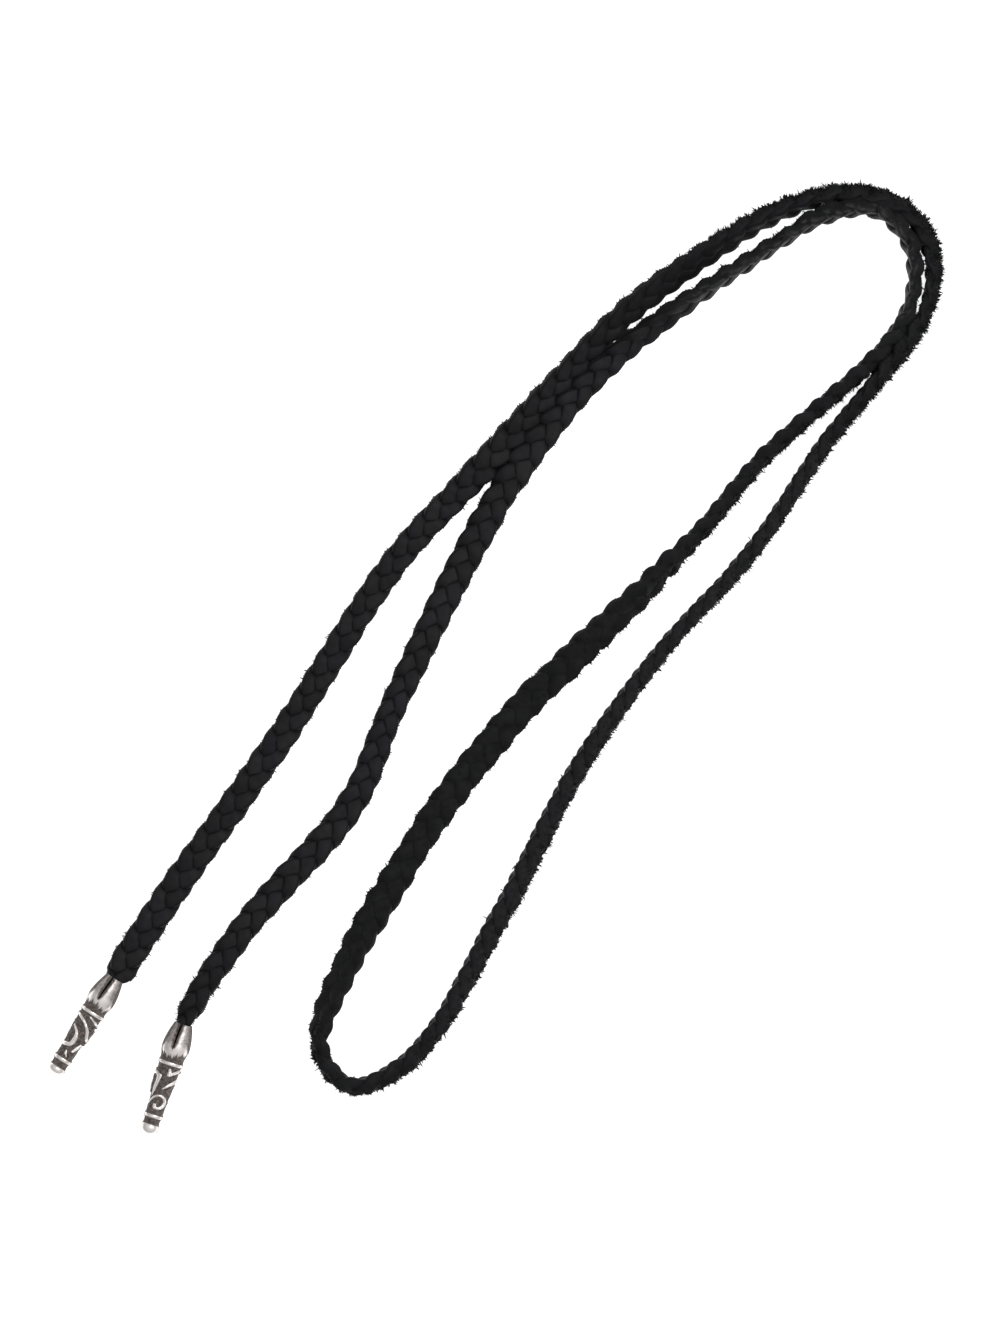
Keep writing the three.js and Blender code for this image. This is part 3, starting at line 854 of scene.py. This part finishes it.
def fibre_piece(lace, points, outward, looks):
    """Frayed tufts of one lace: tapered bent spikes, most of them leaning together."""
    rng = np.random.default_rng(TUFT_SEED + lace)
    chances = tuft_chances(points, outward, looks["grain"])
    chosen = rng.choice(chances.size, TUFTS, p=chances.ravel())
    lively = TUFT_LEAST + TUFT_LIVELY * cord.frayed[chosen // SECTION_SIDES]
    reach = TUFT_LENGTH * lively * np.clip(rng.lognormal(0, TUFT_VARIETY, TUFTS), *TUFT_LIMITS)
    aim = unit(outward.reshape(-1, 3)[chosen] + rng.normal(0, TUFT_LEAN, (TUFTS, 3)))
    root = points.reshape(-1, 3)[chosen]
    tuft = np.repeat(np.arange(TUFTS), rng.geometric(1 / TUFT_FIBRES, TUFTS))
    count = len(tuft)
    core = np.r_[True, tuft[1:] != tuft[:-1]]
    stray = rng.uniform(0, 1, count) < STRAY_CHANCE
    apart = rng.normal(0, TUFT_SPREAD, (count, 3)) * ~core[:, None]
    base = root[tuft] + apart - aim[tuft] * TUFT_SUNK
    end = root[tuft] + aim[tuft] * (reach[tuft] * rng.uniform(*FIBRE_REACH, count))[:, None]
    loose = np.where(stray, STRAY_SPREAD, FIBRE_SPREAD)
    end = end + rng.normal(0, 1, (count, 3)) * loose[:, None]
    radius = np.where(core, CORE_RADIUS, FIBRE_RADIUS) * rng.uniform(*RADIUS_SHARES, count)
    length = np.linalg.norm(end - base, axis=1)
    direction = (end - base) / length[:, None]
    bend = rng.normal(0, FIBRE_BEND, (count, 3)) * length[:, None]
    first = unit(np.cross(direction, rng.normal(0, 1, (count, 3))))
    second = np.cross(direction, first)
    corners = []
    for share, thin in FIBRE_RINGS:
        middle = base + (end - base) * share + bend * share
        for side in range(FIBRE_SIDES):
            angle = 2 * math.pi * side / FIBRE_SIDES
            around = first * math.cos(angle) + second * math.sin(angle)
            corners.append(middle + (radius * thin)[:, None] * around)
    spikes = np.stack(corners + [end], axis=1)
    spikes[:, :, 2] = np.maximum(spikes[:, :, 2], FIBRE_LOWEST)
    plain = [(key, np.zeros(spikes.shape[:2])) for key in looks]
    name = f"lace_{lace + 1}_fibres"
    mesh_piece(name, spikes.reshape(-1, 3), spike_faces(count), leather, plain)


def add_lace(lace):
    line = lace_line(lace)
    points, outward = lace_rings(lace, line)
    looks = lace_looks(lace, line, points)
    lace_piece(lace, points, looks)
    fibre_piece(lace, points, outward, looks)


for lace in range(LACE_COUNT):
    add_lace(lace)


# Silver tips
def rounded(points):
    """A line of points with its corners cut off, again and again."""
    for _ in range(PROFILE_ROUNDING):
        near = (1 - CORNER_CUT) * points[:-1] + CORNER_CUT * points[1:]
        far = CORNER_CUT * points[:-1] + (1 - CORNER_CUT) * points[1:]
        cut = np.stack([near, far], axis=1).reshape(-1, 2)
        points = np.vstack([points[0], cut, points[-1]])
    return points


def even_steps(points, step):
    lengths = running_lengths(points)
    at = np.linspace(0, lengths[-1], round(lengths[-1] / step) + 1)
    return np.c_[np.interp(at, lengths, points[:, 0]), np.interp(at, lengths, points[:, 1])]


def slit_half_width(x):
    """Half the width of a slit at x, from its rounded foot to the mouth."""
    t = np.linspace(0, 1, SLIT_STEPS)
    sides_end = TIP_MOUTH + SLIT_BEYOND - SLIT_FOOT
    along = SLIT_FOOT + 2 * t * (1 - t) * SLIT_ROUNDING + t**2 * sides_end
    return np.interp(x, along, SLIT_HALF_WIDTH * (2 * t - t**2))


def relief(x, radius, angle):
    """Height of the scroll strokes above the barrel at points given by x, radius and angle."""
    height = np.zeros_like(angle)
    t = np.linspace(0, 1, STROKE_STEPS)
    for face, half_widths, points in STROKES:
        line = curve_through(np.array(points), t)[0]
        half = np.interp(t, (0, 0.5, 1), half_widths)
        turn = (angle - math.radians(face) + math.pi) % (2 * math.pi) - math.pi
        away = np.hypot(x[..., None] - line[:, 0], (turn * radius)[..., None] - line[:, 1])
        dome = np.sqrt(np.clip(1 - (away / half) ** 2, 0, 1)) * np.minimum(1, half / STROKE_FULL)
        height = np.maximum(height, RELIEF_HEIGHT * dome.max(axis=-1))
    return height


def cast_lumps(x, angle):
    """Low lumps of the ground between the strokes."""
    waves = (*CROSSED_WAVES, SINGLE_WAVE)
    first, second, single = (np.sin(angle * turns + x * along) for turns, along in waves)
    return LUMP_HEIGHT * (first * second + SINGLE_SHARE * single) * zone(x, *LUMP_ZONE)


def tip_shine(x, angle, turn, raised, stain):
    """How bright the casting is, from 0 in the oxidised ground to 1 where it is rubbed bare, with painted
    shade on its flanks and towards the sides of the cup.
    """
    ragged = sum(size * np.cos(turns * angle + start) for size, turns, start in RAGGED_WAVES)
    bright = [zone(x, *band, RING_SOFTNESS) for band in RING_BANDS]
    bright.append(1 - smoothstep(x, *BALL_SHINE))
    bright.append(smoothstep(x + ragged, *PETAL_SHINE))
    bright.append(smoothstep(raised, *STROKE_SHINE))
    shine = np.maximum.reduce([np.broadcast_to(part, angle.shape) for part in bright])
    on_cup = smoothstep(x, *CUP_FOOT)
    sideways = abs(np.sin(angle + turn))
    # painted shade: darker towards the flanks, more on the cup
    flank_shade = smoothstep(sideways, *FLANK_SHADE_SIDES) * (FLANK_SHADE + FLANK_SHADE_MORE * on_cup)
    # tarnish on the cup, with painted shade growing towards its sides
    tarnish_and_shade = TARNISH_AND_SHADE + SIDE_SHADE * smoothstep(sideways, *SIDE_SHADE_SIDES)
    tarnish_and_shade = on_cup * tarnish_and_shade * smoothstep(x, *TARNISH_AND_SHADE_START)
    return shine * (1 - STAIN_DARKNESS * stain) * (1 - flank_shade) * (1 - tarnish_and_shade)


def tip_grids(turn):
    """Grids of points of the casting, petal by petal: x, radius, angle and shine."""
    rows = even_steps(rounded(TIP_PROFILE), TIP_STEP)
    x = rows[:, :1]
    radius = rows[:, 1:]
    cup = int(np.argmax(rows[:, 0] >= SLIT_FOOT))
    barrel = (rows[:, 0] > RELIEF_START) & (rows[:, 0] < RELIEF_END)
    share = np.linspace(0, 1, PETAL_COLUMNS + 1)[None]
    half_slit = np.arcsin(slit_half_width(x) / np.maximum(radius, SMALLEST_RADIUS))
    half_slit[:cup + 1] = 0
    span = 2 * math.pi / PETALS - 2 * half_slit
    inner_x = x[cup:]
    inner = np.interp(inner_x, TIP_HOLLOW[:, 0], TIP_HOLLOW[:, 1])
    for petal in range(PETALS):
        angle = SLIT_TURN + petal * 2 * math.pi / PETALS + half_slit + span * share
        raised = np.zeros_like(angle)
        raised[barrel] = relief(np.broadcast_to(x, angle.shape)[barrel], radius[barrel], angle[barrel])
        reaches = SLIT_STAIN if petal % 2 == 0 else SLIT_STAIN[::-1]
        from_first = 1 - smoothstep(share * span * radius, 0, reaches[0])
        from_second = 1 - smoothstep((1 - share) * span * radius, 0, reaches[1])
        stain = smoothstep(x, *STAIN_START) * np.maximum(from_first, from_second)
        outer = radius + raised - SLIT_BEVEL * stain**2 + cast_lumps(x, angle)
        inner_angle = angle[cup:]
        yield x, outer, angle, tip_shine(x, angle, turn, raised, stain)
        yield inner_x, inner, inner_angle, HOLLOW_SHINE
        bottom = inner[0, 0] * np.array([[1.0], [0.5], [0.0]])
        yield inner_x[0, 0], bottom, inner_angle[0], BOTTOM_SHINE
        rim = np.vstack([outer[-1], np.full(outer.shape[1], inner[-1, 0])])
        yield inner_x[-1, 0], rim, inner_angle[-1], RIM_SHINE
        for column in (0, -1):
            wall = np.c_[outer[cup:, column], inner]
            yield inner_x, wall, inner_angle[:, column][:, None], SLIT_SHINE


def tip_place(distance, out):
    """The end of a tip's ball, and the directions to its mouth, to its left and up."""
    end = cord_frame(np.array([distance]))
    inward = end.travel[0] if distance == 0 else -end.travel[0]
    level = math.cos(TIP_DIP)
    ahead = np.array((inward[0] * level, inward[1] * level, math.sin(TIP_DIP)))
    left = np.array((-inward[1], inward[0], 0))
    ball = end.middle[0] - inward * ((TIP_MOUTH - INSERT_LENGTH) * level + out)
    ball[2] = tip_axis_height(0) + CUP_RADIUS * (TIP_GIRTH - 1)
    return ball + left * TIP_ASIDE, ahead, left, np.cross(ahead, left)


def weld(mesh):
    """Points that coincide joined into one, with all faces turned outward."""
    joined = bmesh.new()
    joined.from_mesh(mesh)
    bmesh.ops.remove_doubles(joined, verts=joined.verts, dist=WELD)
    bmesh.ops.recalc_face_normals(joined, faces=joined.faces)
    joined.to_mesh(mesh)
    joined.free()


def tip_piece(name, node, distance, turn, out, longer):
    points, polish_and_shade, faces = [], [], []
    total = 0
    for x, radius, angle, shine in tip_grids(turn):
        drawn_x = x - longer * np.clip(1 - x / BALL_END, 0, 1)
        to_left = -radius * np.sin(angle + turn)
        to_top = radius * np.cos(angle + turn)
        grid = np.stack(np.broadcast_arrays(drawn_x, to_left, to_top), axis=-1)
        points.append(grid.reshape(-1, 3))
        polish_and_shade.append(np.broadcast_to(shine, grid.shape[:2]).ravel())
        faces.extend(tuple(total + v for v in face) for face in grid_faces(*grid.shape[:2], False))
        total += grid.shape[0] * grid.shape[1]
    ball, ahead, left, above = tip_place(distance, out)
    local = np.vstack(points) * (1, TIP_GIRTH, TIP_GIRTH)
    placed = ball + local[:, :1] * ahead + local[:, 1:2] * left + local[:, 2:] * above
    placed[:, 2] = np.maximum(placed[:, 2], TIP_LOWEST)
    # the brightness passed on holds painted shade on the flanks and cup sides as well as polish and oxide
    piece = mesh_piece(name, placed, faces, silver, [("polish_and_shade", np.concatenate(polish_and_shade))])
    weld(piece.data)
    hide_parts(node)


tip_piece("tip_left_cast", "end_tip_left", 0.0, LEFT_TURN, LEFT_OUT, LEFT_BALL)
tip_piece("tip_right_cast", "end_tip_right", CORD_LENGTH, RIGHT_TURN, RIGHT_OUT, RIGHT_BALL)


# Surface that it lies on
def add_floor():
    mesh = bpy.data.meshes.new("floor")
    corners = [(x * FLOOR_HALF, y * FLOOR_HALF, 0) for x, y in ((-1, -1), (1, -1), (1, 1), (-1, 1))]
    mesh.from_pydata(corners, [], [(0, 1, 2, 3)])
    mesh.materials.append(floor_material())
    floor = bpy.data.objects.new("floor", mesh)
    bpy.context.scene.collection.objects.link(floor)


add_floor()


# Light
def add_world():
    world = bpy.data.worlds.new("soft_room")
    bpy.context.scene.world = world
    n = Nodes(world)
    direction = n.add("ShaderNodeTexCoord").outputs["Generated"]
    parts = n.add("ShaderNodeSeparateXYZ", {"Vector": direction}).outputs
    lit = n.plus(parts["Z"], n.times(parts["X"], SKY_LEAN))
    colour = n.mix(n.spread(lit, *SKY_HEIGHTS), *SKY_COLOURS)
    background = n.add("ShaderNodeBackground", {"Color": colour, "Strength": SKY_STRENGTH})
    n.add("ShaderNodeOutputWorld", {"Surface": background.outputs["Background"]})


def add_key_light():
    light = bpy.data.lights.new("key", "AREA")
    light.shape = "DISK"
    light.size = KEY_SIZE
    light.energy = KEY_POWER
    lamp = bpy.data.objects.new("key", light)
    lamp.location = KEY_PLACE
    lamp.rotation_euler = (-Vector(KEY_PLACE)).to_track_quat("-Z", "Y").to_euler()
    bpy.context.scene.collection.objects.link(lamp)


add_world()
add_key_light()


# Camera
def add_camera():
    data = bpy.data.cameras.new("camera")
    data.sensor_width = SENSOR
    data.lens = SENSOR * (CAMERA_HEIGHT - SHARP_HEIGHT) / (IMAGE_HEIGHT * PIXEL)
    data.clip_start = NEAREST_SEEN
    camera = bpy.data.objects.new("camera", data)
    x = (IMAGE_WIDTH / 2 - ORIGIN_PIXEL[0]) * PIXEL
    y = (ORIGIN_PIXEL[1] - IMAGE_HEIGHT / 2) * PIXEL
    camera.location = (x, y, CAMERA_HEIGHT)
    bpy.context.scene.collection.objects.link(camera)
    bpy.context.scene.camera = camera


add_camera()
bpy.context.scene.view_settings.view_transform = "Standard"
